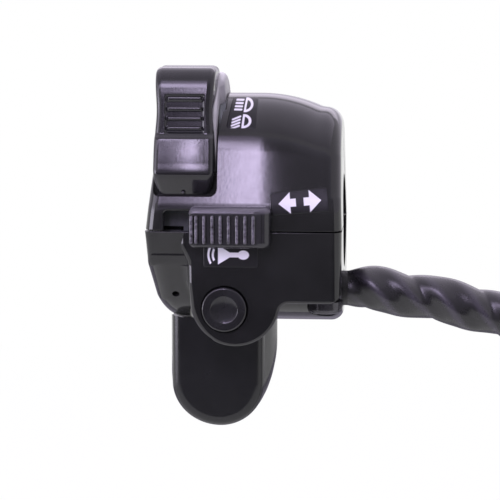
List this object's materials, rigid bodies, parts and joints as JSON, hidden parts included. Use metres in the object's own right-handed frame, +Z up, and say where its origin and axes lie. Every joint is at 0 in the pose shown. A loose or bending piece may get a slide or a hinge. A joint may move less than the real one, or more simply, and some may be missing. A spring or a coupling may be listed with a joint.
{
  "type": "handlebar switch cluster",
  "caption": "Left handlebar switch cluster: a split clamped housing with a rocking dimmer lever, a turn slider, a horn push button, a choke thumb lever and a sleeved lead.",
  "frame": {"origin": "on the handlebar's axis, at mid width of the housing, on the split between the shells", "axes": "+X along the bar towards the end where the lead leaves, +Y away from the rider, +Z up"},
  "size_m": [0.1141, 0.0502, 0.2085],
  "materials": {
    "shell_paint": "satin black paint on die-cast metal",
    "steel": "zinc plated",
    "paddle_plastic": "gloss black moulding",
    "knob_plastic": "black moulding, slightly worn gloss",
    "board": "dark phenolic board",
    "contact_brass": "bright",
    "carrier_plastic": "natural moulding",
    "spring_steel": "drawn wire",
    "grommet_rubber": "soft matte black",
    "wire_cover": "coloured wire insulation",
    "sleeve_vinyl": "soft black vinyl",
    "connector_plastic": "natural nylon"
  },
  "bodies": {
    "housing": {"upper_shell": "shell_paint", "lower_shell": "shell_paint", "clamp_screws": "steel", "dimmer_pin": "steel", "dimmer_board": "board", "dimmer_contacts": "contact_brass", "dimmer_detent": "spring_steel", "turn_board": "board", "turn_contacts": "contact_brass", "horn_base": "board", "horn_terminal": "contact_brass", "horn_spring": "spring_steel", "choke_washer": "spring_steel", "lead_grommet": "grommet_rubber", "inner_wires": "wire_cover", "lead_sleeve": "sleeve_vinyl", "lead_connector": "connector_plastic", "connector_pins": "contact_brass"},
    "dimmer": {"dimmer_lever": "paddle_plastic", "dimmer_wiper": "contact_brass"},
    "turn": {"turn_knob": "knob_plastic", "turn_carrier": "carrier_plastic", "turn_wiper": "contact_brass", "turn_ball": "steel", "turn_spring": "spring_steel"},
    "horn": {"horn_button": "knob_plastic", "horn_disc": "contact_brass"},
    "choke": {"choke_lever": "shell_paint"}
  },
  "joints": [
    {"name": "dimmer_rock", "type": "hinge", "parent": "housing", "child": "dimmer", "pos_m": [0, -0.007, 0.0205], "axis": [-1, 0, 0], "range_deg": [0, 20]},
    {"name": "turn_slide", "type": "slide", "parent": "housing", "child": "turn", "axis": [1, 0, 0], "range_m": [-0.008, 0]},
    {"name": "horn_push", "type": "slide", "parent": "housing", "child": "horn", "axis": [0, 1, 0], "range_m": [0, 0.0022], "stiffness_N_per_m": 600, "springref_m": -0.002, "deforming": ["horn_spring"]},
    {"name": "choke_swing", "type": "hinge", "parent": "housing", "child": "choke", "pos_m": [0, 0, 0], "axis": [1, 0, 0], "range_deg": [0, 40]}
  ]
}
